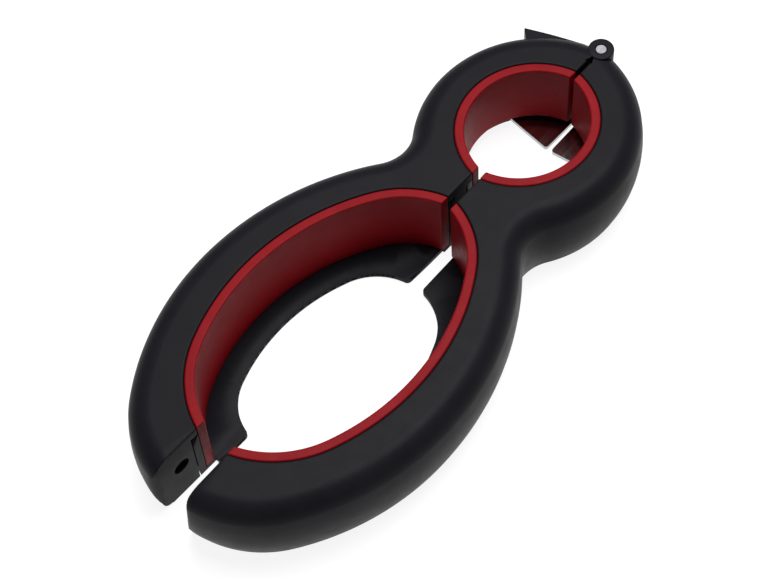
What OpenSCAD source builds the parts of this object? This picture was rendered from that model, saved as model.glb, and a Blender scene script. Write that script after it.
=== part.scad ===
/* [Overall] */
// Height from the resting plane to the flat top face
body_h = 26; // [22:0.5:30]
// Angle between the two jaws in the stored pose, in degrees
rest_open = 1.7; // [1:0.1:10]
// Distance of each mating face from the plane where the jaws meet
seam_gap = 0.45; // [0.2:0.05:0.6]
// Distance from the hinge pin to the middle of the whole opener
hinge_back = 87.9; // [80:0.1:95]

/* [Rings] */
// Inner radius of the small ring, liner face
small_r = 20.3; // [19:0.1:22]
// Distance from the hinge pin to the middle of the small ring
small_x = 33.5; // [32:0.5:35]
// How far each half ring's centre lies beyond the plane where the jaws meet
small_past = 3.9; // [0:0.1:5]
// Half width of the large ring at its middle, liner face
large_half_w = 25.6; // [22:0.2:28]
// Radius of the long side of the large ring
large_side_r = 66.8; // [62:0.4:70]
// Radius of the large ring's end next to the bridge
large_back_r = 26.1; // [24:0.1:28]
// Radius of the large ring's end next to the tips
large_tip_r = 29.8; // [28:0.2:32]

/* [Walls] */
// Thickness of the soft liners
liner_t = 2.9; // [2:0.1:4]
// Thickness of the wall that carries each liner
carrier_t = 2.1; // [1.6:0.1:3]
// Thickness of the top face
top_t = 3.2; // [2:0.1:4]
// Thickness of the outer wall at its foot
shell_t = 2.4; // [1.8:0.1:3]
// Thickness of the bottom plate and of the lid flange
base_t = 1.5; // [1.4:0.1:2.4]
// Gap between the carrier wall and the shell around it
slip = 0.35; // [0.2:0.05:0.5]

/* [Hinge] */
// Radius of the hinge pin
pin_r = 1.5; // [1.2:0.1:2]
// Radius of the knuckles around the pin
knuckle_r = 3.75; // [3.4:0.05:4.2]
// Height of the upper and the lower knuckle of the far jaw
outer_knuckle_h = 5.4; // [4:0.1:7]
// Play between knuckles, along and around the pin
knuckle_play = 0.4; // [0.3:0.05:0.6]

/* [Cap opener] */
// Thickness of the steel plates
plate_t = 1.2; // [0.8:0.1:1.5]
// Distance from the hinge pin to the plates' working edge
plate_x = 23.2; // [22:0.1:25]

/* [Hidden] */

BLACK = "#28282B";
RED = "#9A262B";
STEEL = "#A8A9AD";
$fn = 96;
reach = 400;      // longer than anything in the model
over = 1;         // how far cutting tools run past a face
lap = 0.03;       // how far end arcs stand out where two arcs meet, so that they cross cleanly

// One jaw is drawn with the pin on the Z axis, the tips towards +X and its mating face at
// y = seam_gap. Every outline is a chain of tangent arcs: [centre, radius].

// Large ring, liner face
large_x = 116.2;
side_c = [large_x, large_half_w - large_side_r];
back_dir = 122.6;
tip_dir = 66.4;
function along(c, a, d) = [c[0] + d * cos(a), c[1] + d * sin(a)];
back_c = along(side_c, back_dir, large_side_r - large_back_r);
tip_c = along(side_c, tip_dir, large_side_r - large_tip_r);
small_c = [small_x, -small_past];

// Outside of the body at its widest level. The side arc meets the neck arc straight above both
// centres, and the tip arc in the direction of a 3-4-5 triangle, so the joints are exact.
out_top = 41.8;
out_top_x = 118.9;
out_side_r = 78;
out_side_c = [out_top_x, out_top - out_side_r];
out_neck_r = 85;
out_neck_c = [out_top_x, out_top - out_neck_r];
out_tip_r = 35;
out_tip_dir = atan2(4, 3);
out_tip_c = out_side_c + (out_side_r - out_tip_r) * [0.6, 0.8];
out_small_r = 36.9;
out_small_c = [small_x, -5.6];
// The waist between the small ring and the neck is a hollow fillet. It starts this far inside
// both of its neighbours, so that it crosses them cleanly.
waist_r = 11;
waist_lap = 0.05;
neck_from_small = out_neck_c - out_small_c;
waist_reach = out_small_r + waist_r;
waist_dir = atan2(neck_from_small[1], neck_from_small[0])
    + acos((pow(waist_reach, 2) + pow(norm(neck_from_small), 2) - pow(out_neck_r + waist_r, 2))
        / (2 * waist_reach * norm(neck_from_small)));
waist_c = along(out_small_c, waist_dir, waist_reach);
neck_dir = atan2(waist_c[1] - out_neck_c[1], waist_c[0] - out_neck_c[0]);
waist_fill_c = [60.6, 13.9];    // a round lobe of the bottom plate that fills the waist
waist_fill_r = 3;
band = 10.5;      // depth of the swept rim that carries the side section
core_in = 8;      // how far the plain core stands in from the widest outline

// Side of the body in section: a rounded shoulder above a gently bulging wall
shoulder_r = 6.5;
bulge_r = 39;
bulge_z = body_h - 12;
shoulder_z = body_h - shoulder_r;
// The shoulder's arc stands this far proud of the wall's, so that the two cross cleanly
shoulder_proud = 0.01;
shoulder_in = bulge_r - sqrt(pow(bulge_r - shoulder_r, 2) - pow(shoulder_z - bulge_z, 2)) - shoulder_proud;
blend_z = shoulder_z + shoulder_r * (shoulder_z - bulge_z) / (bulge_r - shoulder_r);
foot_in = bulge_r - sqrt(pow(bulge_r, 2) - pow(bulge_z, 2));

// Tips: the end faces stand back from the mating plane, more at the top than at the foot
tip_from_x = 158;
near_tip = [0.5, 2.6];      // [at the foot, at the top]
far_tip = [4.4, 3.5];
tip_pocket_at = [169, 14.5];
tip_pocket_r = 2.6;
tip_pocket_depth = 1.6;

// Lid flange inside the large ring
flange_r = 57.9;
flange_c = [115.8, 18.9 - flange_r];
flange_end_r = 17.2;
flange_back_dir = 112.3;
flange_tip_dir = 69.2;
flange_edge_x = [75, 148];
near_edge = [1.1, 1.2];     // where the flange stops, at [the back, the tips]
far_edge = [1.05, 2.65];
flange_back_c = along(flange_c, flange_back_dir, flange_r - flange_end_r);
flange_tip_c = along(flange_c, flange_tip_dir, flange_r - flange_end_r);

// Small ring: the liner stands on a step, and the steel plate sits in a recess below it
step_h = 4.2;
step_r = small_r + 2.5;
plate_z = 0.25;
plate_out_r = 26.8;
plate_corner_r = 1.2;
plate_slant = 6;

// Screws that hold each bottom plate, and rivets that hold each steel plate
screw_at = [[162.9, 14.2], [117.1, 33.9], [63.6, 11.6]];
boss_r = 2.4;
pad_r = 2.8;
pad_h = 3.6;
head_r = 2;
head_h = 1.3;
head_z = 0.4;
thread_r = 1;
thread_h = 9;
rivet_at = [for (a = [158, 130]) along(small_c, a, small_r + liner_t + 1)];
rivet_r = 0.9;
rivet_head_r = 1.7;
rivet_head_h = 0.2;
rivet_h = 3.4;

// Hinge
hinge_block_r = 6.6;
middle_z = [outer_knuckle_h + knuckle_play, body_h - outer_knuckle_h - knuckle_play];
pin_play = 0.05;
pin_in = 0.25;

// Claw on the outside of the far jaw
claw_z = [11.5, 23];
claw_root = [-0.3, 5.8];
claw_tip = [6.2, 23.1];
claw_end = [8.7, 20.6];
claw_depth = 3.2;           // how far the claw's back lies inside the wall it grows from

/* ---- plan outlines ---- */

module wedge(c, a0, a1) {
    polygon([c, along(c, a0, reach), along(c, (a0 + a1) / 2, reach), along(c, a1, reach)]);
}

module pie(c, r, a0, a1) {
    intersection() {
        translate(c) circle(r);
        wedge(c, a0, a1);
    }
}

// Half of the large ring's opening, grown by o
module large_hole(o) {
    pie(side_c, large_side_r + o, tip_dir, back_dir);
    translate(back_c) circle(large_back_r + o + lap);
    translate(tip_c) circle(large_tip_r + o + lap);
}

module small_hole(o) {
    translate(small_c) circle(small_r + o);
}

module flange_hole() {
    pie(flange_c, flange_r, flange_tip_dir, flange_back_dir);
    translate(flange_back_c) circle(flange_end_r + lap);
    translate(flange_tip_c) circle(flange_end_r + lap);
}

// Outline of the body, drawn in by i from its widest level
module outline(i) {
    translate(out_small_c) circle(out_small_r - i);
    pie(out_neck_c, out_neck_r - i, 90, 150);
    pie(out_side_c, out_side_r - i + lap, out_tip_dir, 95);
    translate(out_tip_c) circle(out_tip_r - i + 2 * lap);
}

// The hollow corner between the small ring and the neck, up to the waist fillet
module waist_web(i) {
    difference() {
        polygon([waist_c + 0.65 * (out_small_c - waist_c), waist_c, waist_c + 0.5 * (out_neck_c - waist_c)]);
        translate(waist_c) circle(waist_r + i + waist_lap);
    }
}

/* ---- solids shared by the two jaws ---- */

// Section of the side wall, with its widest point at x = 0 and w of material behind it
module side_section(w) {
    translate([-w, 0]) square([w - shoulder_in, body_h]);
    intersection() {
        translate([-bulge_r, bulge_z]) circle(bulge_r);
        translate([-w, 0]) square([w + over, blend_z]);
    }
    intersection() {
        translate([-shoulder_in, shoulder_z]) circle(shoulder_r);
        translate([-shoulder_in - over, blend_z - over]) square([shoulder_r + 2 * over, body_h]);
    }
}

// The side section swept about c from direction a0, by a positive or a negative angle
module swept(c, r, a0, angle) {
    translate(c) rotate(a0) mirror([0, angle < 0 ? 1 : 0])
        rotate_extrude(angle = abs(angle)) translate([r, 0]) side_section(band);
}

// The whole outside of one jaw, before it is cut at the mating face
module jaw_block() {
    swept(out_small_c, out_small_r, -20, 220);
    swept(out_neck_c, out_neck_r, 90, neck_dir + 3 - 90);
    swept(out_side_c, out_side_r, 90, -22);
    swept(out_side_c, out_side_r, out_tip_dir, 20);
    swept(out_tip_c, out_tip_r, out_tip_dir, -80);
    translate(waist_c) rotate(waist_dir + 180)
        rotate_extrude(angle = neck_dir - waist_dir)
        translate([waist_r + waist_lap, 0]) mirror([1, 0]) side_section(band);
    linear_extrude(body_h) {
        outline(core_in);
        waist_web(core_in);
    }
}

// Everything on a jaw's own side of its mating face
module own_side(tip) {
    translate([-reach, seam_gap, -over]) cube([reach + tip_from_x, reach, body_h + 2 * over]);
    translate([tip_from_x, 0, 0]) rotate([90, 0, 90])
        linear_extrude(reach)
        polygon([
            [tip[0], 0], [tip[0], -over], [reach, -over], [reach, body_h + over],
            [tip[1], body_h + over], [tip[1], body_h]
        ]);
}

// Hollow inside of a shell in plan, drawn in by g for the plate that fits into it
module cavity(tip, g) {
    difference() {
        intersection() {
            union() {
                outline(foot_in + shell_t + g);
                if (g == 0) waist_web(foot_in + shell_t);
                else translate(waist_fill_c) circle(waist_fill_r);
            }
            union() {
                translate([0, seam_gap + shell_t + g]) square([tip_from_x, reach]);
                translate([0, max(tip) + shell_t + g]) square([reach, reach]);
            }
        }
        circle(hinge_block_r + g);
    }
}

module jaw_shell(tip) {
    difference() {
        intersection() {
            jaw_block();
            own_side(tip);
        }
        translate([0, 0, -over]) linear_extrude(body_h - top_t + over) {
            cavity(tip, 0);
            large_hole(liner_t + carrier_t + slip);
            small_hole(liner_t + carrier_t + slip);
        }
        linear_extrude(body_h + over) {
            large_hole(liner_t);
            small_hole(liner_t);
        }
        translate([tip_pocket_at[0], tip[1] + tip_pocket_depth, tip_pocket_at[1]])
            rotate([90, 0, 0]) cylinder(h = reach, r = tip_pocket_r);
    }
    screw_bosses();
}

module screw_bosses() {
    for (p = screw_at)
        translate([p[0], p[1], pad_h])
            difference() {
                cylinder(h = body_h - top_t - pad_h + 0.2, r = boss_r);
                translate([0, 0, -over]) cylinder(h = thread_h + over, r = thread_r);
            }
}

// What the lid flange leaves free next to the mating face, inside the large ring
module flange_gap(edge) {
    intersection() {
        large_hole(0.5);
        polygon([
            [flange_edge_x[0] - 20, -over], [flange_edge_x[0] - 20, edge[0]], [flange_edge_x[0], edge[0]],
            [flange_edge_x[1], edge[1]], [flange_edge_x[1] + 30, edge[1]], [flange_edge_x[1] + 30, -over]
        ]);
    }
}

module jaw_base(tip, edge) {
    difference() {
        intersection() {
            union() {
                linear_extrude(base_t) difference() {
                    translate([-reach, 0]) square([2 * reach, reach]);
                    small_hole(step_r - small_r);
                }
                linear_extrude(body_h - top_t - slip) difference() {
                    large_hole(liner_t + carrier_t);
                    large_hole(liner_t);
                }
                linear_extrude(body_h - top_t - slip) difference() {
                    small_hole(liner_t + carrier_t);
                    small_hole(liner_t);
                }
                linear_extrude(step_h) difference() {
                    small_hole(liner_t + over);
                    small_hole(step_r - small_r);
                }
                linear_extrude(step_h) difference() {
                    intersection() {
                        small_hole(plate_out_r - small_r);
                        translate([0, seam_gap]) square([plate_x, reach]);
                    }
                    small_hole(step_r - small_r);
                }
                for (p = screw_at) translate(p) cylinder(h = pad_h, r = pad_r);
            }
            own_side(tip);
            linear_extrude(body_h) union() {
                cavity(tip, slip);
                large_hole(liner_t + carrier_t);
                small_hole(liner_t + carrier_t);
            }
        }
        translate([0, 0, -over]) linear_extrude(base_t + 2 * over) {
            flange_hole();
            flange_gap(edge);
        }
        translate([0, 0, base_t]) linear_extrude(body_h) large_hole(liner_t);
        translate([0, 0, -over]) linear_extrude(plate_z + plate_t + over)
            plate_outline();
        for (p = screw_at) translate([p[0], p[1], -over]) {
            cylinder(h = head_z + head_h + over, r = head_r + 0.3);
            cylinder(h = pad_h + 2 * over, r = thread_r + 0.3);
        }
        for (p = rivet_at) translate([p[0], p[1], 0]) cylinder(h = rivet_h, r = rivet_r);
    }
}

module jaw_large_liner(tip) {
    intersection() {
        translate([0, 0, base_t]) linear_extrude(body_h - base_t) difference() {
            large_hole(liner_t);
            large_hole(0);
        }
        own_side(tip);
    }
}

module jaw_small_liner(tip) {
    intersection() {
        translate([0, 0, step_h]) linear_extrude(body_h - step_h) difference() {
            small_hole(liner_t);
            small_hole(0);
        }
        own_side(tip);
    }
}

// Steel plate in plan: a slice of the ring with one straight working edge
module plate_outline() {
    intersection() {
        translate(small_c) circle(plate_out_r);
        union() {
            cavity(near_tip, slip);
            small_hole(liner_t + carrier_t);
        }
        difference() {
            translate([hinge_block_r, seam_gap]) square([reach, reach]);
            translate([plate_x, 0]) rotate(plate_slant) translate([0, -reach]) square([reach, 2 * reach]);
            translate([plate_x - plate_corner_r, seam_gap]) difference() {
                square(2 * plate_corner_r);
                translate([0, plate_corner_r]) circle(plate_corner_r);
                translate([-over, plate_corner_r]) square(3 * plate_corner_r);
            }
        }
    }
}

module jaw_plate() {
    difference() {
        translate([0, 0, plate_z]) linear_extrude(plate_t) plate_outline();
        for (p = rivet_at) translate([p[0], p[1], -over]) cylinder(h = reach, r = rivet_r);
    }
}

module jaw_screws() {
    for (p = screw_at) translate([p[0], p[1], head_z]) {
        difference() {
            cylinder(h = head_h, r = head_r);
            for (a = [0, 90]) rotate(a) translate([-1.3, -0.25, -over]) cube([2.6, 0.5, over + 0.6]);
        }
        cylinder(h = thread_h + pad_h - head_z, r = thread_r);
    }
}

module jaw_rivets() {
    for (p = rivet_at) translate([p[0], p[1], plate_z - rivet_head_h]) {
        cylinder(h = rivet_head_h, r = rivet_head_r);
        cylinder(h = rivet_h - plate_z + rivet_head_h, r = rivet_r);
    }
}

/* ---- hinge and claw ---- */

module knuckle(z0, z1) {
    translate([0, 0, z0]) cylinder(h = z1 - z0, r = knuckle_r);
}

module knuckle_room(z0, z1) {
    translate([0, 0, z0]) cylinder(h = z1 - z0, r = knuckle_r + knuckle_play);
}

module claw() {
    translate([0, 0, claw_z[0]]) linear_extrude(claw_z[1] - claw_z[0])
        polygon(concat(
            [claw_root, claw_tip, claw_end],
            [for (a = [135, 150, 160]) along(out_small_c, a, out_small_r - claw_depth)]
        ));
}

/* ---- placing the jaws ---- */

module near_place() {
    translate([-hinge_back, 0, 0]) rotate(rest_open / 2) children();
}

module far_place() {
    translate([-hinge_back, 0, 0]) rotate(-rest_open / 2) mirror([0, 1, 0]) children();
}

/* ---- the sub-parts ---- */

module near_shell() {
    color(BLACK) near_place() difference() {
        union() {
            difference() {
                jaw_shell(near_tip);
                knuckle_room(-over, middle_z[0]);
                knuckle_room(middle_z[1], body_h + over);
            }
            knuckle(middle_z[0], middle_z[1]);
        }
        translate([0, 0, -over]) cylinder(h = body_h + 2 * over, r = pin_r + pin_play);
    }
}

module far_shell() {
    color(BLACK) far_place() difference() {
        union() {
            difference() {
                jaw_shell(far_tip);
                knuckle_room(outer_knuckle_h, body_h - outer_knuckle_h);
            }
            knuckle(0, outer_knuckle_h);
            knuckle(body_h - outer_knuckle_h, body_h);
            claw();
        }
        translate([0, 0, -over]) cylinder(h = body_h + 2 * over, r = pin_r);
    }
}

module near_base() { color(BLACK) near_place() jaw_base(near_tip, near_edge); }
module far_base() { color(BLACK) far_place() jaw_base(far_tip, far_edge); }
module near_large_liner() { color(RED) near_place() jaw_large_liner(near_tip); }
module far_large_liner() { color(RED) far_place() jaw_large_liner(far_tip); }
module near_small_liner() { color(RED) near_place() jaw_small_liner(near_tip); }
module far_small_liner() { color(RED) far_place() jaw_small_liner(far_tip); }
module near_cap_plate() { color(STEEL) near_place() jaw_plate(); }
module far_cap_plate() { color(STEEL) far_place() jaw_plate(); }
module near_base_screws() { color(STEEL) near_place() jaw_screws(); }
module far_base_screws() { color(STEEL) far_place() jaw_screws(); }
module near_plate_rivets() { color(STEEL) near_place() jaw_rivets(); }
module far_plate_rivets() { color(STEEL) far_place() jaw_rivets(); }

module hinge_pin() {
    color(STEEL) translate([-hinge_back, 0, pin_in])
        cylinder(h = body_h - 2 * pin_in, r = pin_r);
}

near_shell();
near_base();
near_large_liner();
near_small_liner();
near_cap_plate();
near_base_screws();
near_plate_rivets();
far_shell();
far_base();
far_large_liner();
far_small_liner();
far_cap_plate();
far_base_screws();
far_plate_rivets();
hinge_pin();
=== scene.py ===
import math

import bmesh
import bpy
import numpy as np
from mathutils import Euler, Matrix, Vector


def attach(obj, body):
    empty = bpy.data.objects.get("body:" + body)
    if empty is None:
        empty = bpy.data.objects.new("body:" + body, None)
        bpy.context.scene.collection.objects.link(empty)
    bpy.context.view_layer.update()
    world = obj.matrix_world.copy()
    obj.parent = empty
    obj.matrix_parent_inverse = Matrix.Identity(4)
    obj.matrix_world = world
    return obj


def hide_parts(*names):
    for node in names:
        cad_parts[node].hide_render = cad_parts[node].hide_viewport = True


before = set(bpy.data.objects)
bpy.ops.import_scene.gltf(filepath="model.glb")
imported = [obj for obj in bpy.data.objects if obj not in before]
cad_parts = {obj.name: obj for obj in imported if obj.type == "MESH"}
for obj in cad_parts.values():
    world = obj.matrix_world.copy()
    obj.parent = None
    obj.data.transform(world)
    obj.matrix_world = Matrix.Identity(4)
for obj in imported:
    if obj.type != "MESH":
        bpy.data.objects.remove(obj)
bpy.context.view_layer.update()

MM = 0.001

# ---------------------------------------------------------------------------------------------
# Sizes in millimetres, as in the CAD source unless a comment says otherwise. One jaw is drawn
# with the hinge pin on the Z axis, the tips towards +X and its mating face at y = SEAM; then it
# is turned into place.
# ---------------------------------------------------------------------------------------------
HINGE_BACK = 87.9          # from the hinge pin to the origin
HALF_OPEN = 0.85           # each jaw's turn from the closed pose, in degrees
SEAM = 0.45                # mating face to the closing plane
BODY_H = 26.0
LINER_T = 2.9
CARRIER_T = 2.1            # the bottom plate's wall that carries a liner
SLIP = 0.35                # between that wall and the shell
TOP_T = 3.2                # the shell's top
SHELL_T = 2.4              # the shell's outer wall
BASE_T = 1.5               # the bottom plate
STEP_H = 4.2               # height of the step that the small liner stands on
PIN_R = 1.5
KNUCKLE_R = 3.75
KNUCKLE_H = 5.4
KNUCKLE_PLAY = 0.4

# Faces of the liners: one arc in the small ring, and a back, a side and a tip arc in the large one
SMALL_R = 20.3
SMALL_C = (33.5, -3.9)
SIDE_R = 66.8
SIDE_C = (116.2, -41.2)
BACK_R = 26.1
BACK_DIR = 122.6           # where the back arc meets the side arc, seen from the side's centre
TIP_R = 29.8
TIP_DIR = 66.4             # where the side arc meets the tip arc

# Outline of the body at its widest level: small ring, waist, neck, side and tip arcs
OUT_TOP = 41.8
OUT_TOP_X = 118.9
OUT_SIDE_R = 78.0
OUT_SIDE_C = (OUT_TOP_X, OUT_TOP - OUT_SIDE_R)
OUT_NECK_R = 85.0
OUT_NECK_C = (OUT_TOP_X, OUT_TOP - OUT_NECK_R)
OUT_TIP_R = 35.0
OUT_TIP_DIR = math.degrees(math.atan2(4, 3))
OUT_SMALL_R = 36.9
OUT_SMALL_C = (33.5, -5.6)
WAIST_R = 11.0

SHOULDER_R = 6.5           # rounding between the top and the outer wall
BULGE_R = 39.0             # upright arc of the outer wall
BULGE_Z = BODY_H - 12.0    # its widest level

# A tip's end face to the closing plane, at the foot and at the top. The near one slopes a
# little more here than in the CAD.
NEAR_FACE = (-0.4, 2.65)
FAR_FACE = (4.4, 3.5)

SKIM = 0.02                # keeps a joined part's end face just inside the face around it
PAST = 2                   # how far a cutting tool runs past the body
SHARP = 0.01               # edge rounding of a cutting tool
MERGE = 2e-6               # metres: points closer than this become one
AXIS_MERGE = 1e-7          # the same for a lathed piece, whose points are closer together
QUARTER_STEPS = 4          # steps in the quarter circle of a small edge rounding


def polar(c, degrees, r):
    a = math.radians(degrees)
    return (c[0] + r * math.cos(a), c[1] + r * math.sin(a))


BACK_C = polar(SIDE_C, BACK_DIR, SIDE_R - BACK_R)
TIP_C = polar(SIDE_C, TIP_DIR, SIDE_R - TIP_R)
OUT_TIP_C = polar(OUT_SIDE_C, OUT_TIP_DIR, OUT_SIDE_R - OUT_TIP_R)


def lerp(a, b, t):
    return a + (b - a) * t


def direction(c, p):
    return math.degrees(math.atan2(p[1] - c[1], p[0] - c[0]))


def waist_arc():
    """The concave arc in the waist, tangent to the small ring's outside and to the neck."""
    a, b = np.array(OUT_SMALL_C), np.array(OUT_NECK_C)
    ra, rb = OUT_SMALL_R + WAIST_R, OUT_NECK_R + WAIST_R
    gap = float(np.linalg.norm(b - a))
    turn = math.degrees(math.acos((ra * ra + gap * gap - rb * rb) / (2 * gap * ra)))
    c = polar(OUT_SMALL_C, direction(a, b) + turn, ra)
    return c, direction(OUT_SMALL_C, c), direction(OUT_NECK_C, c)


WAIST_C, WAIST_DIR, NECK_DIR = waist_arc()


def arc_end(c, r, y):
    """Direction, on the +X side of centre c, at which a circle of radius r is y high."""
    return math.degrees(math.asin((y - c[1]) / r))


def arc_start(c, r, y):
    return 180.0 - arc_end(c, r, y)


def outside(piece, t, inset, end_y):
    """A point on the body's outline, drawn in by inset from its widest level."""
    if piece == "small":
        r = OUT_SMALL_R - inset
        return polar(OUT_SMALL_C, lerp(arc_start(OUT_SMALL_C, r, SEAM), WAIST_DIR, t), r)
    if piece == "waist":
        return polar(WAIST_C, lerp(WAIST_DIR + 180, NECK_DIR + 180, t), WAIST_R + inset)
    if piece == "neck":
        return polar(OUT_NECK_C, lerp(NECK_DIR, 90, t), OUT_NECK_R - inset)
    if piece == "side":
        return polar(OUT_SIDE_C, lerp(90, OUT_TIP_DIR, t), OUT_SIDE_R - inset)
    r = OUT_TIP_R - inset
    return polar(OUT_TIP_C, lerp(OUT_TIP_DIR, arc_end(OUT_TIP_C, r, end_y), t), r)


HINGE_EDGE_X = 6.0         # where the mating face starts, inside the knuckles' room


def inside(piece, t, off, mate, end_y):
    """A point on the rings' edge: off outwards from the liner face, mate in from a mating face."""
    y = SEAM + mate
    if piece == "hinge":
        stop = SMALL_C[0] - math.sqrt((SMALL_R + off) ** 2 - (y - SMALL_C[1]) ** 2)
        return (lerp(HINGE_EDGE_X, stop, t), y)
    if piece == "small":
        r = SMALL_R + off
        return polar(SMALL_C, lerp(arc_start(SMALL_C, r, y), arc_end(SMALL_C, r, y), t), r)
    if piece == "bridge":
        go = SMALL_C[0] + math.sqrt((SMALL_R + off) ** 2 - (y - SMALL_C[1]) ** 2)
        stop = BACK_C[0] - math.sqrt((BACK_R + off) ** 2 - (y - BACK_C[1]) ** 2)
        return (lerp(go, stop, t), y)
    if piece == "back":
        r = BACK_R + off
        return polar(BACK_C, lerp(arc_start(BACK_C, r, y), BACK_DIR, t), r)
    if piece == "side":
        return polar(SIDE_C, lerp(BACK_DIR, TIP_DIR, t), SIDE_R + off)
    r = TIP_R + off
    return polar(TIP_C, lerp(TIP_DIR, arc_end(TIP_C, r, end_y), t), r)


# How stations along the outline pair up with stations along the rings' edge:
# outline piece, from, to, ring piece, from, to, steps, section.
# The section is a solid block at the hinge and at the tip's end wall, a block that stops above
# the bottom plate beside the hinge, a wall along the mating face, or else hollow.
PAIRS = [
    ("small", 0.00, 0.07, "hinge", 0.0, 1.0, 3, "block"),
    ("small", 0.07, 0.17, "small", 0.0, 0.085, 6, "high"),
    ("small", 0.17, 1.00, "small", 0.085, 0.79, 56, "hollow"),
    ("waist", 0.00, 0.45, "small", 0.79, 1.0, 16, "hollow"),
    ("waist", 0.45, 0.60, "bridge", 0.0, 1.0, 4, "wall"),
    ("waist", 0.60, 1.00, "back", 0.0, 0.6, 14, "hollow"),
    ("neck", 0.00, 0.15, "back", 0.6, 1.0, 8, "hollow"),
    ("neck", 0.15, 1.00, "side", 0.0, 0.50, 36, "hollow"),
    ("side", 0.00, 0.80, "side", 0.50, 1.0, 30, "hollow"),
    ("side", 0.80, 1.00, "tip", 0.0, 0.2, 8, "hollow"),
    ("tip", 0.00, 0.93, "tip", 0.2, 0.944, 26, "hollow"),
    ("tip", 0.93, 1.00, "tip", 0.944, 1.0, 3, "block"),
]


def stations(pairs):
    """Each station's outline piece and place on it, ring piece and place on it, and section."""
    for out_piece, out_0, out_1, in_piece, in_0, in_1, steps, section in pairs:
        for k in range(steps + 1):
            t = k / steps
            yield out_piece, lerp(out_0, out_1, t), in_piece, lerp(in_0, in_1, t), section


# ---------------------------------------------------------------------------------------------
# Mesh helpers
# ---------------------------------------------------------------------------------------------
def place(points, far):
    """Jaw coordinates to metres in the frame."""
    p = np.array(points, float)
    if far:
        p[:, 1] *= -1
    a = math.radians(-HALF_OPEN if far else HALF_OPEN)
    x = p[:, 0] * math.cos(a) - p[:, 1] * math.sin(a) - HINGE_BACK
    y = p[:, 0] * math.sin(a) + p[:, 1] * math.cos(a)
    return np.column_stack([x, y, p[:, 2]]) * MM


def make(name, verts, faces, merge=MERGE):
    me = bpy.data.meshes.new(name)
    me.from_pydata([tuple(v) for v in verts], [], faces)
    bm = bmesh.new()
    bm.from_mesh(me)
    bmesh.ops.remove_doubles(bm, verts=bm.verts, dist=merge)
    bmesh.ops.dissolve_degenerate(bm, edges=bm.edges, dist=merge)
    bmesh.ops.recalc_face_normals(bm, faces=bm.faces)
    bm.to_mesh(me)
    bm.free()
    ob = bpy.data.objects.new(name, me)
    bpy.context.scene.collection.objects.link(ob)
    return ob


def loft(name, loops, far):
    """Closed section loops joined along a path, with flat ends."""
    k = len(loops[0])
    verts = place([p for loop in loops for p in loop], far)
    faces = []
    n = len(loops)
    for s in range(n - 1):
        a, b = s * k, (s + 1) * k
        for j in range(k):
            faces.append((a + j, a + (j + 1) % k, b + (j + 1) % k, b + j))
    faces.append(tuple(range(k)))
    faces.append(tuple((n - 1) * k + j for j in reversed(range(k))))
    return make(name, verts, faces)


def boolean(ob, tool, operation):
    """Joins the tool to ob or cuts it out, and removes the tool."""
    m = ob.modifiers.new("cut", "BOOLEAN")
    m.operation = operation
    m.solver = "EXACT"
    m.object = tool
    dg = bpy.context.evaluated_depsgraph_get()
    me = bpy.data.meshes.new_from_object(ob.evaluated_get(dg))
    ob.modifiers.clear()
    old = ob.data
    ob.data = me
    bpy.data.meshes.remove(old)
    bpy.data.objects.remove(tool)


def lathe(name, profile, far, steps):
    """A turned piece on the hinge axis. profile is (radius, z) pairs, from the axis to the axis."""
    loops = []
    for s in range(steps):
        a = 2 * math.pi * s / steps
        loops.append([(r * math.cos(a), r * math.sin(a), z) for r, z in profile])
    k = len(profile)
    verts = place([p for loop in loops for p in loop], far)
    faces = []
    for s in range(steps):
        a, b = s * k, ((s + 1) % steps) * k
        for j in range(k - 1):
            faces.append((a + j, a + j + 1, b + j + 1, b + j))
    return make(name, verts, faces, merge=AXIS_MERGE)


def quarter(steps=QUARTER_STEPS):
    """Angles from 0 to 90 degrees, in radians."""
    return [math.radians(90 * k / steps) for k in range(steps + 1)]


ROD_EDGE = 0.35
ROD_STEPS = 64
ROOM_STEPS = 72            # for the rooms round the knuckles
PIN_RING_STEPS = 48        # for the rings round the pin's ends


def rounded_rod(r, z0, z1, far, edge=ROD_EDGE, steps=ROD_STEPS):
    """An upright rod on the hinge axis, with both its edges rounded."""
    profile = [(0, z0)]
    for a in quarter():
        profile.append((r - edge + edge * math.sin(a), z0 + edge - edge * math.cos(a)))
    for a in quarter():
        profile.append((r - edge + edge * math.cos(a), z1 - edge + edge * math.sin(a)))
    profile.append((0, z1))
    return lathe("tool", profile, far, steps)


SMOOTH_ANGLE = 32          # degrees: a sharper fold than this shows as an edge


def smooth(ob):
    me = ob.data
    me.shade_smooth()
    me.set_sharp_from_angle(angle=math.radians(SMOOTH_ANGLE))
    m = ob.modifiers.new("normals", "WEIGHTED_NORMAL")
    m.keep_sharp = True
    m.weight = 50


# ---------------------------------------------------------------------------------------------
# Shells
# ---------------------------------------------------------------------------------------------
EDGE = 0.45                # rounding of the top edges
RIM_BAND = 0.25            # flat band beside a rounded edge, which keeps its shading clean
TOP_BAND = 0.2             # the same beside the shoulder
TOP_ROWS = (0.35, 0.7)     # rows of points across the flat top
SHOULDER_STEPS = 12
WALL_ROWS = 7
FOOT_EDGE = 0.5            # rounding of the outer foot edge
FOOT_STEPS = 6             # the far shell's booleans have failed with other counts
FOOT_CHAMFER = 0.25        # on the wall's inner foot edge
NEAR_TIP = (NEAR_FACE, FOOT_EDGE)    # end face, and rounding of the outer foot edge at the tip
FAR_TIP = (FAR_FACE, 3.0)
TIP_FOOT_RISE = 2.0        # the tip arc's first half takes the foot edge to the tip's rounding
RECESS_Z = 3.0             # foot of the block beside the hinge
SHOULDER_Z = BODY_H - SHOULDER_R
SHOULDER_IN = BULGE_R - math.sqrt((BULGE_R - SHOULDER_R) ** 2 - (SHOULDER_Z - BULGE_Z) ** 2)


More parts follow.
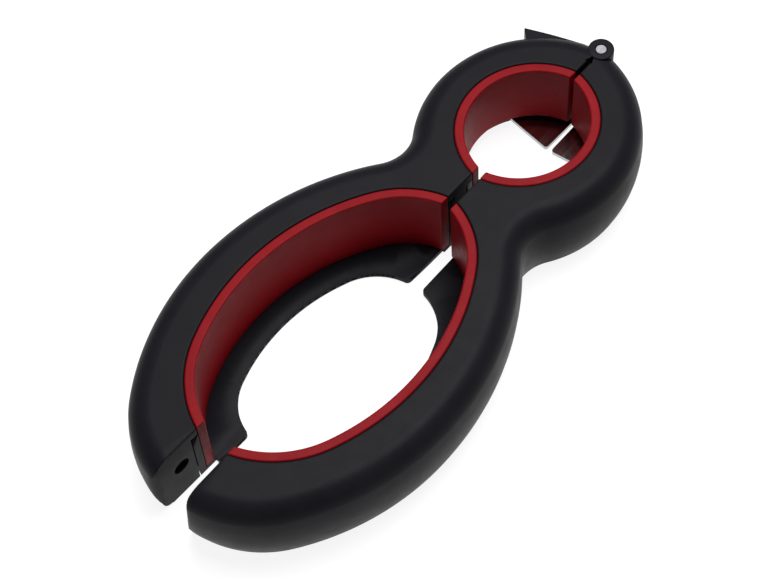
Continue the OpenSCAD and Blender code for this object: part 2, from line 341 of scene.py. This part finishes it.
def bulge(z):
    """How far the outer wall lies in from its widest level at height z."""
    return BULGE_R - math.sqrt(BULGE_R ** 2 - (z - BULGE_Z) ** 2)


FOOT_IN = bulge(0.0)
# how far the shoulder turns, from the flat top to the bulging wall
BLEND = math.degrees(math.acos((SHOULDER_Z - BULGE_Z) / (BULGE_R - SHOULDER_R)))


def shell_loop(station, tip, shrink=0.0, lift=0.0, corner=0.0, out_lift=0.0):
    """The shell's section at a station.

    tip is NEAR_TIP or FAR_TIP. shrink draws the section in, and lift moves its end back on the
    ring's side. corner is the least inset of the outside, and out_lift moves the outside's end
    back, for the upright rounding at a tip.
    """
    out_piece, out_t, in_piece, in_t, section = station
    face, tip_foot = tip
    foot = FOOT_EDGE
    if out_piece == "tip":
        foot = lerp(FOOT_EDGE, tip_foot, min(1.0, TIP_FOOT_RISE * out_t))
    off_low = LINER_T + CARRIER_T + SLIP
    ceiling = BODY_H - TOP_T
    pts = []

    def end_y(z):
        return lerp(face[0], face[1], z / BODY_H)

    # the last two arguments of ring and wall are the direction that shrink moves a point in
    def ring(off, mate, z, n_off=0.0, n_z=0.0):
        z += n_z * shrink
        x, y = inside(in_piece, in_t, off + n_off * shrink, mate + n_off * shrink,
                      end_y(z) + lift)
        pts.append((x, y, z))

    def wall(inset, z, n_in=0.0, n_z=0.0):
        z += n_z * shrink
        inset = max(inset + n_in * shrink, corner)
        x, y = outside(out_piece, out_t, inset, end_y(z) + out_lift)
        pts.append((x, y, z))

    foot_z = {"block": 0.0, "high": RECESS_Z, "hollow": ceiling, "wall": 0.0}[section]
    ring(off_low, 0.0, foot_z)
    ring(off_low, 0.0, ceiling)
    ring(LINER_T, 0.0, ceiling, 1.0)
    for a in quarter():
        ring(LINER_T + EDGE * (1 - math.cos(a)), EDGE * (1 - math.cos(a)),
            BODY_H - EDGE + EDGE * math.sin(a), math.cos(a), -math.sin(a))
    ring(LINER_T + EDGE + RIM_BAND, EDGE + RIM_BAND, BODY_H, 0.0, -1.0)
    y_in, y_out = end_y(BODY_H) + lift, end_y(BODY_H) + out_lift
    top_in = inside(in_piece, in_t, LINER_T + EDGE + RIM_BAND, EDGE + RIM_BAND, y_in)
    top_out = outside(out_piece, out_t, SHOULDER_IN + TOP_BAND, y_out)
    for w in TOP_ROWS:
        pts.append((lerp(top_in[0], top_out[0], w), lerp(top_in[1], top_out[1], w),
                    BODY_H - shrink))
    wall(SHOULDER_IN + TOP_BAND, BODY_H, 0.0, -1.0)
    for k in range(SHOULDER_STEPS + 1):
        a = math.radians(BLEND * k / SHOULDER_STEPS)
        wall(SHOULDER_IN - SHOULDER_R * math.sin(a), SHOULDER_Z + SHOULDER_R * math.cos(a),
            math.sin(a), -math.cos(a))
    z_blend = SHOULDER_Z + SHOULDER_R * math.cos(math.radians(BLEND))
    for k in range(1, WALL_ROWS + 1):
        z = lerp(z_blend, foot, k / WALL_ROWS)
        wall(bulge(z), z, 1.0, 0.0)
    for a in quarter(FOOT_STEPS)[1:]:
        wall(bulge(foot) + foot * (1 - math.cos(a)), foot * (1 - math.sin(a)),
            math.cos(a), math.sin(a))
    wall(FOOT_IN + SHELL_T - FOOT_CHAMFER, 0.0)
    wall(FOOT_IN + SHELL_T, 0.0 if section == "block" else FOOT_CHAMFER)
    mate, hollow_z = (SHELL_T, ceiling) if section == "wall" else (0.0, foot_z)
    wall(FOOT_IN + SHELL_T, hollow_z)
    ring(off_low, mate, hollow_z)
    ring(off_low, mate, foot_z)
    return pts


END_ROUND = 0.45           # rounding of a tip's end face on the ring's side
TIP_ROUND = 3.0            # upright rounding between a tip's end face and its outside
END_STEPS = 8


def shell_body(name, tip, far):
    """The shell without its hinge parts: all stations, then the last one drawn in to an end face."""
    loops = []
    for station in stations(PAIRS):
        loops.append(shell_loop(station, tip, 0.0, END_ROUND, 0.0, TIP_ROUND))
    for a in quarter(END_STEPS)[1:]:
        draw_in, back = 1 - math.cos(a), 1 - math.sin(a)
        loops.append(shell_loop(station, tip, END_ROUND * draw_in, END_ROUND * back,
                                TIP_ROUND * draw_in, TIP_ROUND * back))
    return loft(name, loops, far)


def hinge_room(z0, z1, far):
    """The room for the other jaw's knuckle."""
    return rounded_rod(KNUCKLE_R + KNUCKLE_PLAY, z0, z1, far, SHARP, ROOM_STEPS)


# the near jaw's knuckle, between the far jaw's two
MID_LOW = KNUCKLE_H + KNUCKLE_PLAY
MID_HIGH = BODY_H - KNUCKLE_H - KNUCKLE_PLAY
PIN_RING = 0.3             # dark ring round the pin's end
PIN_SINK = 1.2             # and its depth

CLAW_Z = (11.5, 23.0)
CLAW_ROOT = (-0.3, 5.8)
CLAW_TIP = (6.2, 23.1)
CLAW_END = (8.7, 20.6)
CLAW_DEPTH = 3.2           # how far the claw's back lies inside the wall it grows from
CLAW_BOW = 0.25            # how far the claw's outer face bows out
CLAW_BOW_STEPS = 10
CLAW_LIP = (0.3, -0.1)     # the tip's blunt end, from one corner to the other
CLAW_BACK_DIRS = (135, 150, 160)
CLAW_EDGE = 0.35
CLAW_SOFT = 0.3            # where the claw's edge rounding has its middle row


def claw_outline():
    """The claw seen from above, clockwise from its root along the outer face."""
    nx, ny = CLAW_TIP[1] - CLAW_ROOT[1], CLAW_ROOT[0] - CLAW_TIP[0]
    s = math.hypot(nx, ny)
    pts = []
    for k in range(CLAW_BOW_STEPS + 1):
        t = k / CLAW_BOW_STEPS
        bow = CLAW_BOW * math.sin(math.pi * k / CLAW_BOW_STEPS)
        pts.append((lerp(CLAW_ROOT[0], CLAW_TIP[0], t) - bow * nx / s,
                    lerp(CLAW_ROOT[1], CLAW_TIP[1], t) - bow * ny / s))
    pts.append((CLAW_TIP[0] + CLAW_LIP[0], CLAW_TIP[1] + CLAW_LIP[1]))
    pts.append(CLAW_END)
    for degrees in CLAW_BACK_DIRS:
        pts.append(polar(OUT_SMALL_C, degrees, OUT_SMALL_R - CLAW_DEPTH))
    return pts


def claw(far):
    outline = claw_outline()
    z0, z1 = CLAW_Z
    e = CLAW_EDGE
    loops = []

    def ring(z, inset):
        n = len(outline)
        loop = []
        for i, p in enumerate(outline):
            a, b = outline[i - 1], outline[(i + 1) % n]
            tx, ty = b[0] - a[0], b[1] - a[1]
            s = math.hypot(tx, ty) or 1.0
            # the outline runs clockwise, so the inside is to the right of the tangent
            loop.append((p[0] + inset * ty / s, p[1] - inset * tx / s, z))
        loops.append(loop)

    ring(z0, e)
    ring(z0 + CLAW_SOFT * e, CLAW_SOFT * e)
    ring(z0 + e, 0.0)
    ring(z1 - e, 0.0)
    ring(z1 - CLAW_SOFT * e, CLAW_SOFT * e)
    ring(z1, e)
    return loft("tool", loops, far)


TIP_POCKET = (169.0, 14.5)
TIP_POCKET_R = 2.6
TIP_POCKET_DEPTH = 1.6     # into the end face at its top
TIP_POCKET_REACH = 10      # how far the cutting tool runs out of the end face
TIP_POCKET_STEPS = 48


def tip_pocket(face, far):
    """The round blind hole in a tip's end face."""
    loops = []
    for y in (face[1] - TIP_POCKET_REACH, face[1] + TIP_POCKET_DEPTH):
        loop = []
        for k in range(TIP_POCKET_STEPS):
            a = 2 * math.pi * k / TIP_POCKET_STEPS
            loop.append((TIP_POCKET[0] + TIP_POCKET_R * math.cos(a), y,
                         TIP_POCKET[1] + TIP_POCKET_R * math.sin(a)))
        loops.append(loop)
    return loft("tool", loops, far)


def near_shell():
    ob = shell_body("near_shell_skin", NEAR_TIP, False)
    boolean(ob, tip_pocket(NEAR_FACE, False), "DIFFERENCE")
    boolean(ob, hinge_room(MID_HIGH, BODY_H + PAST, False), "DIFFERENCE")
    boolean(ob, hinge_room(-PAST, MID_LOW, False), "DIFFERENCE")
    boolean(ob, rounded_rod(KNUCKLE_R, MID_LOW, MID_HIGH, False), "UNION")
    return ob


def far_shell():
    ob = shell_body("far_shell_skin", FAR_TIP, True)
    boolean(ob, tip_pocket(FAR_FACE, True), "DIFFERENCE")
    boolean(ob, hinge_room(KNUCKLE_H, BODY_H - KNUCKLE_H, True), "DIFFERENCE")
    boolean(ob, rounded_rod(KNUCKLE_R, SKIM, KNUCKLE_H, True), "UNION")
    boolean(ob, rounded_rod(KNUCKLE_R, BODY_H - KNUCKLE_H, BODY_H - SKIM, True), "UNION")
    boolean(ob, claw(True), "UNION")
    for z0, z1 in ((BODY_H - PIN_SINK, BODY_H + PAST), (-PAST, PIN_SINK)):
        ring = rounded_rod(PIN_R + PIN_RING, z0, z1, True, SHARP, PIN_RING_STEPS)
        boolean(ob, ring, "DIFFERENCE")
    return ob


# ---------------------------------------------------------------------------------------------
# Liners
# ---------------------------------------------------------------------------------------------
LINER_EDGE = 0.5
LINER_TOP = BODY_H - SKIM
LINER_THICK = LINER_T - 0.12         # leaves a fine dark seam against the shell
LINER_END = 0.4                      # rounding of a liner's two ends
LINER_ROWS = (0.33, 0.66)            # rows of points up the liner's face


def build_liner(name, pieces, z0, face, far):
    """A liner that stands at z0 and runs along pieces, pairs of a ring piece and its steps."""
    def loop(piece, t, shrink, lift):
        pts = []

        def add(off, z, n_off, n_z):
            z += n_z * shrink
            y = lerp(face[0], face[1], z / BODY_H) + lift
            x, y = inside(piece, t, off + n_off * shrink, lift, y)
            pts.append((x, y, z))

        for a in quarter():
            add(LINER_EDGE * (1 - math.sin(a)), z0 + LINER_EDGE * (1 - math.cos(a)),
                math.sin(a), math.cos(a))
        for w in LINER_ROWS:
            add(0, lerp(z0, LINER_TOP, w), 1, 0)
        for a in quarter():
            add(LINER_EDGE * (1 - math.cos(a)), LINER_TOP - LINER_EDGE * (1 - math.sin(a)),
                math.cos(a), -math.sin(a))
        add(LINER_EDGE + TOP_BAND, LINER_TOP, 0, -1)
        for a in quarter():
            add(LINER_THICK - LINER_EDGE * (1 - math.sin(a)),
                LINER_TOP - LINER_EDGE * (1 - math.cos(a)), -math.sin(a), -math.cos(a))
        add(LINER_THICK, z0, -1, 1)
        return pts

    loops = []
    for a in quarter()[:-1]:
        loops.append(loop(pieces[0][0], 0.0, LINER_END * (1 - math.sin(a)),
                          LINER_END * (1 - math.cos(a))))
    for piece, steps in pieces:
        for k in range(steps + 1):
            loops.append(loop(piece, k / steps, 0.0, LINER_END))
    for a in quarter()[1:]:
        loops.append(loop(pieces[-1][0], 1.0, LINER_END * (1 - math.cos(a)),
                          LINER_END * (1 - math.sin(a))))
    return loft(name, loops, far)


# ---------------------------------------------------------------------------------------------
# Bottom plates: the CAD's shape, with the flange's sharp corners rounded
# ---------------------------------------------------------------------------------------------
FLANGE_R = 57.9
FLANGE_REACH = 18.9                  # half the width of the flange's opening
FLANGE_C = (115.8, FLANGE_REACH - FLANGE_R)
FLANGE_END_R = 17.2
FLANGE_BACK_DIR = 112.3
FLANGE_TIP_DIR = 69.2
FLANGE_BACK_C = polar(FLANGE_C, FLANGE_BACK_DIR, FLANGE_R - FLANGE_END_R)
FLANGE_TIP_C = polar(FLANGE_C, FLANGE_TIP_DIR, FLANGE_R - FLANGE_END_R)
FLANGE_EDGE_X = (75.0, 148.0)        # the flange's mating edge runs straight between these
NEAR_EDGE = (1.1, 1.2)               # its distance from the closing plane, at back and tips
FAR_EDGE = (1.05, 2.65)
FLANGE_CORNER = 1.6                  # radius of the rounded corners, which the CAD leaves sharp
CORNER_STEPS = 10
CORNER_REACH = 2.4                   # how far the cutter runs past a corner, in corner radii
CORNER_PASSES = 8                    # enough for the corner's centre to settle
BASE_PAST = 1.0                      # how far the cutter runs past the plate's faces


def flange_corner(c, side, edge, far):
    """What rounding takes off the corner between the flange's opening and its mating edge.

    c is the centre of the opening's end arc, and side is -1 at the back and 1 at the tips.
    """
    def edge_y(x):
        t = (x - FLANGE_EDGE_X[0]) / (FLANGE_EDGE_X[1] - FLANGE_EDGE_X[0])
        return lerp(edge[0], edge[1], min(t, 1.0))

    x = c[0] + side * FLANGE_END_R
    for _ in range(CORNER_PASSES):
        y = edge_y(x) + FLANGE_CORNER
        x = c[0] + side * math.sqrt((FLANGE_END_R + FLANGE_CORNER) ** 2 - (y - c[1]) ** 2)
    centre = (x, y)
    go = direction(centre, c)
    stop = -90.0
    if side < 0:
        go, stop = stop, go
    turn = (stop - go) % 360.0
    if turn > 180.0:
        turn -= 360.0
    points = []
    for k in range(CORNER_STEPS + 1):
        points.append(polar(centre, go + turn * k / CORNER_STEPS, FLANGE_CORNER))
    points.append(polar(centre, go + turn / 2, CORNER_REACH * FLANGE_CORNER))
    loops = []
    for z in (-BASE_PAST, BASE_T + BASE_PAST):
        loops.append([(p[0], p[1], z) for p in points])
    return loft("tool", loops, far)


def rounded_base(node, name, edge, far):
    """A copy of the CAD's bottom plate with its two sharp flange corners rounded."""
    ob = bpy.data.objects.new(name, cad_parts[node].data.copy())
    bpy.context.scene.collection.objects.link(ob)
    ob.matrix_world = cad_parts[node].matrix_world.copy()
    for c, side in ((FLANGE_BACK_C, -1), (FLANGE_TIP_C, 1)):
        boolean(ob, flange_corner(c, side, edge, far), "DIFFERENCE")
    return ob


# ---------------------------------------------------------------------------------------------
# Materials
# ---------------------------------------------------------------------------------------------
def new_material(name, color, roughness, metallic, specular):
    m = bpy.data.materials.new(name)
    m.use_nodes = True
    nt = m.node_tree
    b = nt.nodes["Principled BSDF"]
    b.inputs["Base Color"].default_value = (*color, 1)
    b.inputs["Roughness"].default_value = roughness
    b.inputs["Metallic"].default_value = metallic
    b.inputs["Specular IOR Level"].default_value = specular
    return m, nt, b


def noise(nt, scale, detail, rough, stretch=None):
    """Noise in the object's own metres; stretch scales it along X, Y and Z."""
    tc = nt.nodes.new("ShaderNodeTexCoord")
    n = nt.nodes.new("ShaderNodeTexNoise")
    n.inputs["Scale"].default_value = scale
    n.inputs["Detail"].default_value = detail
    n.inputs["Roughness"].default_value = rough
    if stretch is None:
        nt.links.new(tc.outputs["Object"], n.inputs["Vector"])
    else:
        mp = nt.nodes.new("ShaderNodeMapping")
        mp.inputs["Scale"].default_value = stretch
        nt.links.new(tc.outputs["Object"], mp.inputs["Vector"])
        nt.links.new(mp.outputs["Vector"], n.inputs["Vector"])
    return n


def spread(nt, bsdf, socket, source, span, low, high):
    """Runs a shader socket from low to high as the noise goes over span."""
    r = nt.nodes.new("ShaderNodeValToRGB")
    for element, at, value in zip(r.color_ramp.elements, span, (low, high)):
        element.position = at
        element.color = (*value, 1)
    nt.links.new(source.outputs["Fac"], r.inputs["Fac"])
    nt.links.new(r.outputs["Color"], bsdf.inputs[socket])


def grey(v):
    return (v, v, v)


def bump(nt, bsdf, height, strength, distance, chain=None):
    """distance is in metres. chain is a bump that this one adds to."""
    b = nt.nodes.new("ShaderNodeBump")
    b.inputs["Strength"].default_value = strength
    b.inputs["Distance"].default_value = distance
    nt.links.new(height.outputs["Fac"], b.inputs["Height"])
    if chain is not None:
        nt.links.new(chain.outputs["Normal"], b.inputs["Normal"])
    nt.links.new(b.outputs["Normal"], bsdf.inputs["Normal"])
    return b


# the stretches of a noise over which a tint or a roughness goes from one end to the other
COLOUR_SPAN = (0.3, 0.75)
MATT_SPAN = (0.25, 0.8)
STEEL_SPAN = (0.3, 0.8)
LINES_SPAN = (0.2, 0.8)
STEEL_DARKER = 0.86        # steel's darkest tint, as a part of its own


def black_plastic():
    """Moulded plastic with a satin grain and slightly uneven gloss."""
    m, nt, b = new_material("black_plastic_skin", (0.0120, 0.0118, 0.0148),
                            roughness=0.4, metallic=0.0, specular=0.05)
    patches = noise(nt, scale=60, detail=4, rough=0.6)
    spread(nt, b, "Base Color", patches, COLOUR_SPAN,
           (0.0105, 0.0103, 0.0130), (0.0135, 0.0133, 0.0166))
    gloss = noise(nt, scale=240, detail=5, rough=0.6)
    spread(nt, b, "Roughness", gloss, MATT_SPAN, grey(0.36), grey(0.47))
    grain = noise(nt, scale=2600, detail=2, rough=0.5)
    fine = bump(nt, b, grain, strength=0.35, distance=0.00006)
    wave = noise(nt, scale=45, detail=2, rough=0.4)
    bump(nt, b, wave, strength=0.25, distance=0.0003, chain=fine)
    return m


def red_rubber():
    """Soft rubber: duller than the plastic, with a coarser grain."""
    m, nt, b = new_material("red_liner_skin", (0.25, 0.007, 0.011),
                            roughness=0.46, metallic=0.0, specular=0.06)
    patches = noise(nt, scale=90, detail=4, rough=0.6)
    spread(nt, b, "Base Color", patches, COLOUR_SPAN,
           (0.225, 0.0055, 0.0095), (0.275, 0.0080, 0.0125))
    gloss = noise(nt, scale=300, detail=4, rough=0.6)
    spread(nt, b, "Roughness", gloss, MATT_SPAN, grey(0.40), grey(0.54))
    grain = noise(nt, scale=1500, detail=3, rough=0.5)
    fine = bump(nt, b, grain, strength=0.3, distance=0.00005)
    wave = noise(nt, scale=70, detail=2, rough=0.4)
    bump(nt, b, wave, strength=0.3, distance=0.0004, chain=fine)
    return m


def steel(name, color, rough, stretch):
    """Steel with fine lines; stretch is below 1 along the lines."""
    m, nt, b = new_material(name, color, rough, metallic=1.0, specular=0.5)
    lines = noise(nt, scale=900, detail=3, rough=0.6, stretch=stretch)
    spread(nt, b, "Roughness", lines, LINES_SPAN, grey(rough * 0.7), grey(rough * 1.4))
    patches = noise(nt, scale=120, detail=4, rough=0.6)
    darker = tuple(v * STEEL_DARKER for v in color)
    spread(nt, b, "Base Color", patches, STEEL_SPAN, darker, color)
    bump(nt, b, lines, strength=0.2, distance=0.00003)
    return m


BLACK = black_plastic()
RED = red_rubber()
PLATE = steel("steel_skin", (0.50, 0.50, 0.51), 0.14, (0.05, 1.0, 1.0))
FASTENER = steel("fastener_skin", (0.62, 0.62, 0.60), 0.30, (1.0, 1.0, 0.1))
PIN = steel("pin_skin", (0.24, 0.24, 0.25), 0.45, (1.0, 1.0, 1.0))


def dress(ob, material, body, node):
    """Finishes a new piece, which rides on body and stands for a CAD node."""
    smooth(ob)
    ob.data.materials.clear()
    ob.data.materials.append(material)
    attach(ob, body)
    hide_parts(node)


def keep(node, material):
    """Shows a CAD node as it is, with a better material."""
    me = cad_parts[node].data
    me.materials.clear()
    me.materials.append(material)


# ---------------------------------------------------------------------------------------------
# Assembly
# ---------------------------------------------------------------------------------------------
SIDES = (("near", False, NEAR_FACE, NEAR_EDGE, near_shell),
         ("far", True, FAR_FACE, FAR_EDGE, far_shell))
LARGE_STEPS = [("back", 16), ("side", 60), ("tip", 30)]
SMALL_STEPS = [("small", 90)]
for side, far, face, edge, shell in SIDES:
    body = side + "_jaw"
    dress(shell(), BLACK, body, side + "_shell")
    ob = build_liner(side + "_large_liner_skin", LARGE_STEPS, BASE_T, face, far)
    dress(ob, RED, body, side + "_large_liner")
    ob = build_liner(side + "_small_liner_skin", SMALL_STEPS, STEP_H, (0, 0), far)
    dress(ob, RED, body, side + "_small_liner")
    ob = rounded_base(side + "_base", side + "_base_skin", edge, far)
    dress(ob, BLACK, body, side + "_base")
    keep(side + "_cap_plate", PLATE)
    keep(side + "_base_screws", FASTENER)
    keep(side + "_plate_rivets", FASTENER)
keep("hinge_pin", PIN)

# ---------------------------------------------------------------------------------------------
# Floor, light and camera
# ---------------------------------------------------------------------------------------------
FLOOR_R = 6.0              # metres, as everything from here on
FLOOR_DROP = 0.0002        # keeps the floor just clear of the bottom plates
FLOOR_GLOW = 0.88          # the floor is partly lit from itself, for an even white background
WORLD_GLOW = 0.12
KEY_AT = (-0.30, -0.10, 1.0)         # it points at the origin
KEY_SIZE = 0.7
KEY_POWER = 12.6
CAMERA_AT = (0.198702, 0.193532, 0.473798)
CAMERA_TURN = (0.534084, 0.045528, 2.283933)
CAMERA_SENSOR = 36.0
CAMERA_LENS = 91.145
CAMERA_NEAR = 0.01


def pale_floor():
    me = bpy.data.meshes.new("floor")
    corners = [(-FLOOR_R, -FLOOR_R, 0), (FLOOR_R, -FLOOR_R, 0), (FLOOR_R, FLOOR_R, 0),
               (-FLOOR_R, FLOOR_R, 0)]
    me.from_pydata(corners, [], [(0, 1, 2, 3)])
    ob = bpy.data.objects.new("floor", me)
    bpy.context.scene.collection.objects.link(ob)
    ob.location.z = -FLOOR_DROP
    m, _, b = new_material("floor_paint", grey(0.25), roughness=0.9, metallic=0.0, specular=0.0)
    b.inputs["Emission Color"].default_value = (1, 1, 1, 1)
    b.inputs["Emission Strength"].default_value = FLOOR_GLOW
    me.materials.append(m)


def studio_world():
    world = bpy.data.worlds.new("studio")
    bpy.context.scene.world = world
    world.use_nodes = True
    bg = world.node_tree.nodes["Background"]
    bg.inputs["Color"].default_value = (1, 1, 1, 1)
    bg.inputs["Strength"].default_value = WORLD_GLOW


def key_light():
    light = bpy.data.lights.new("key", "AREA")
    light.shape = "RECTANGLE"
    light.size = KEY_SIZE
    light.size_y = KEY_SIZE
    light.energy = KEY_POWER
    ob = bpy.data.objects.new("key", light)
    ob.location = KEY_AT
    ob.rotation_euler = (-Vector(KEY_AT)).to_track_quat("-Z", "Y").to_euler()
    bpy.context.scene.collection.objects.link(ob)


def photo_camera():
    data = bpy.data.cameras.new("camera")
    data.sensor_width = CAMERA_SENSOR
    data.lens = CAMERA_LENS
    data.clip_start = CAMERA_NEAR
    ob = bpy.data.objects.new("camera", data)
    ob.location = CAMERA_AT
    ob.rotation_euler = Euler(CAMERA_TURN, "XYZ")
    bpy.context.scene.collection.objects.link(ob)
    bpy.context.scene.camera = ob


pale_floor()
studio_world()
key_light()
photo_camera()
bpy.context.scene.view_settings.view_transform = "Standard"
